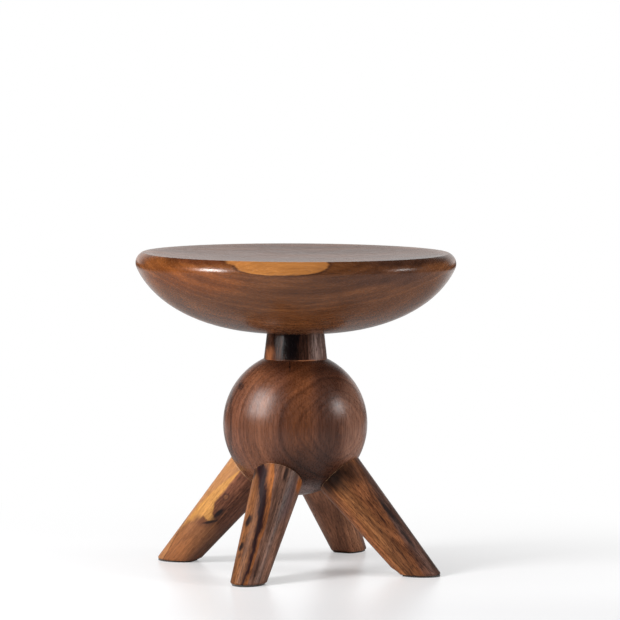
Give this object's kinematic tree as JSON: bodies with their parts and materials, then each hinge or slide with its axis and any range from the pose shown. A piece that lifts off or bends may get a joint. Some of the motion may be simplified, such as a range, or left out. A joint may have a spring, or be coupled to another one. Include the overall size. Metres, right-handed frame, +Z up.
{
  "type": "round pedestal stool",
  "caption": "Round turned wooden stool: a deep dished seat on a short neck and a ball, carried by raking conical legs.",
  "frame": {"origin": "on the floor, under the middle of the ball and of the seat", "axes": "+Z up along the axis of seat, neck and ball; -Y is the front, midway between the two front legs to within a degree; +X to the right"},
  "size_m": [0.4542, 0.4542, 0.45],
  "materials": {
    "seat_wood": "satin oil, flat-grained, with a pale sapwood patch",
    "neck_wood": "satin oil",
    "ball_wood": "satin oil",
    "leg_wood": "satin oil, strongly striped",
    "inner_wood": "plain",
    "pad_felt": "pressed felt",
    "steel": "zinc plated",
    "insert_brass": "plain"
  },
  "bodies": {
    "root": {"seat": "seat_wood", "neck": "neck_wood", "ball": "ball_wood", "leg_front_left": "leg_wood", "leg_front_right": "leg_wood", "leg_back_left": "leg_wood", "leg_back_right": "leg_wood", "wedge_front_left": "inner_wood", "wedge_front_right": "inner_wood", "wedge_back_left": "inner_wood", "wedge_back_right": "inner_wood", "pad_front_left": "pad_felt", "pad_front_right": "pad_felt", "pad_back_left": "pad_felt", "pad_back_right": "pad_felt", "tie_rod": "steel", "seat_insert": "insert_brass", "rod_washer": "steel", "rod_nut": "steel", "ball_plug": "ball_wood", "seat_dowels": "inner_wood", "ball_dowels": "inner_wood"}
  },
  "joints": []
}
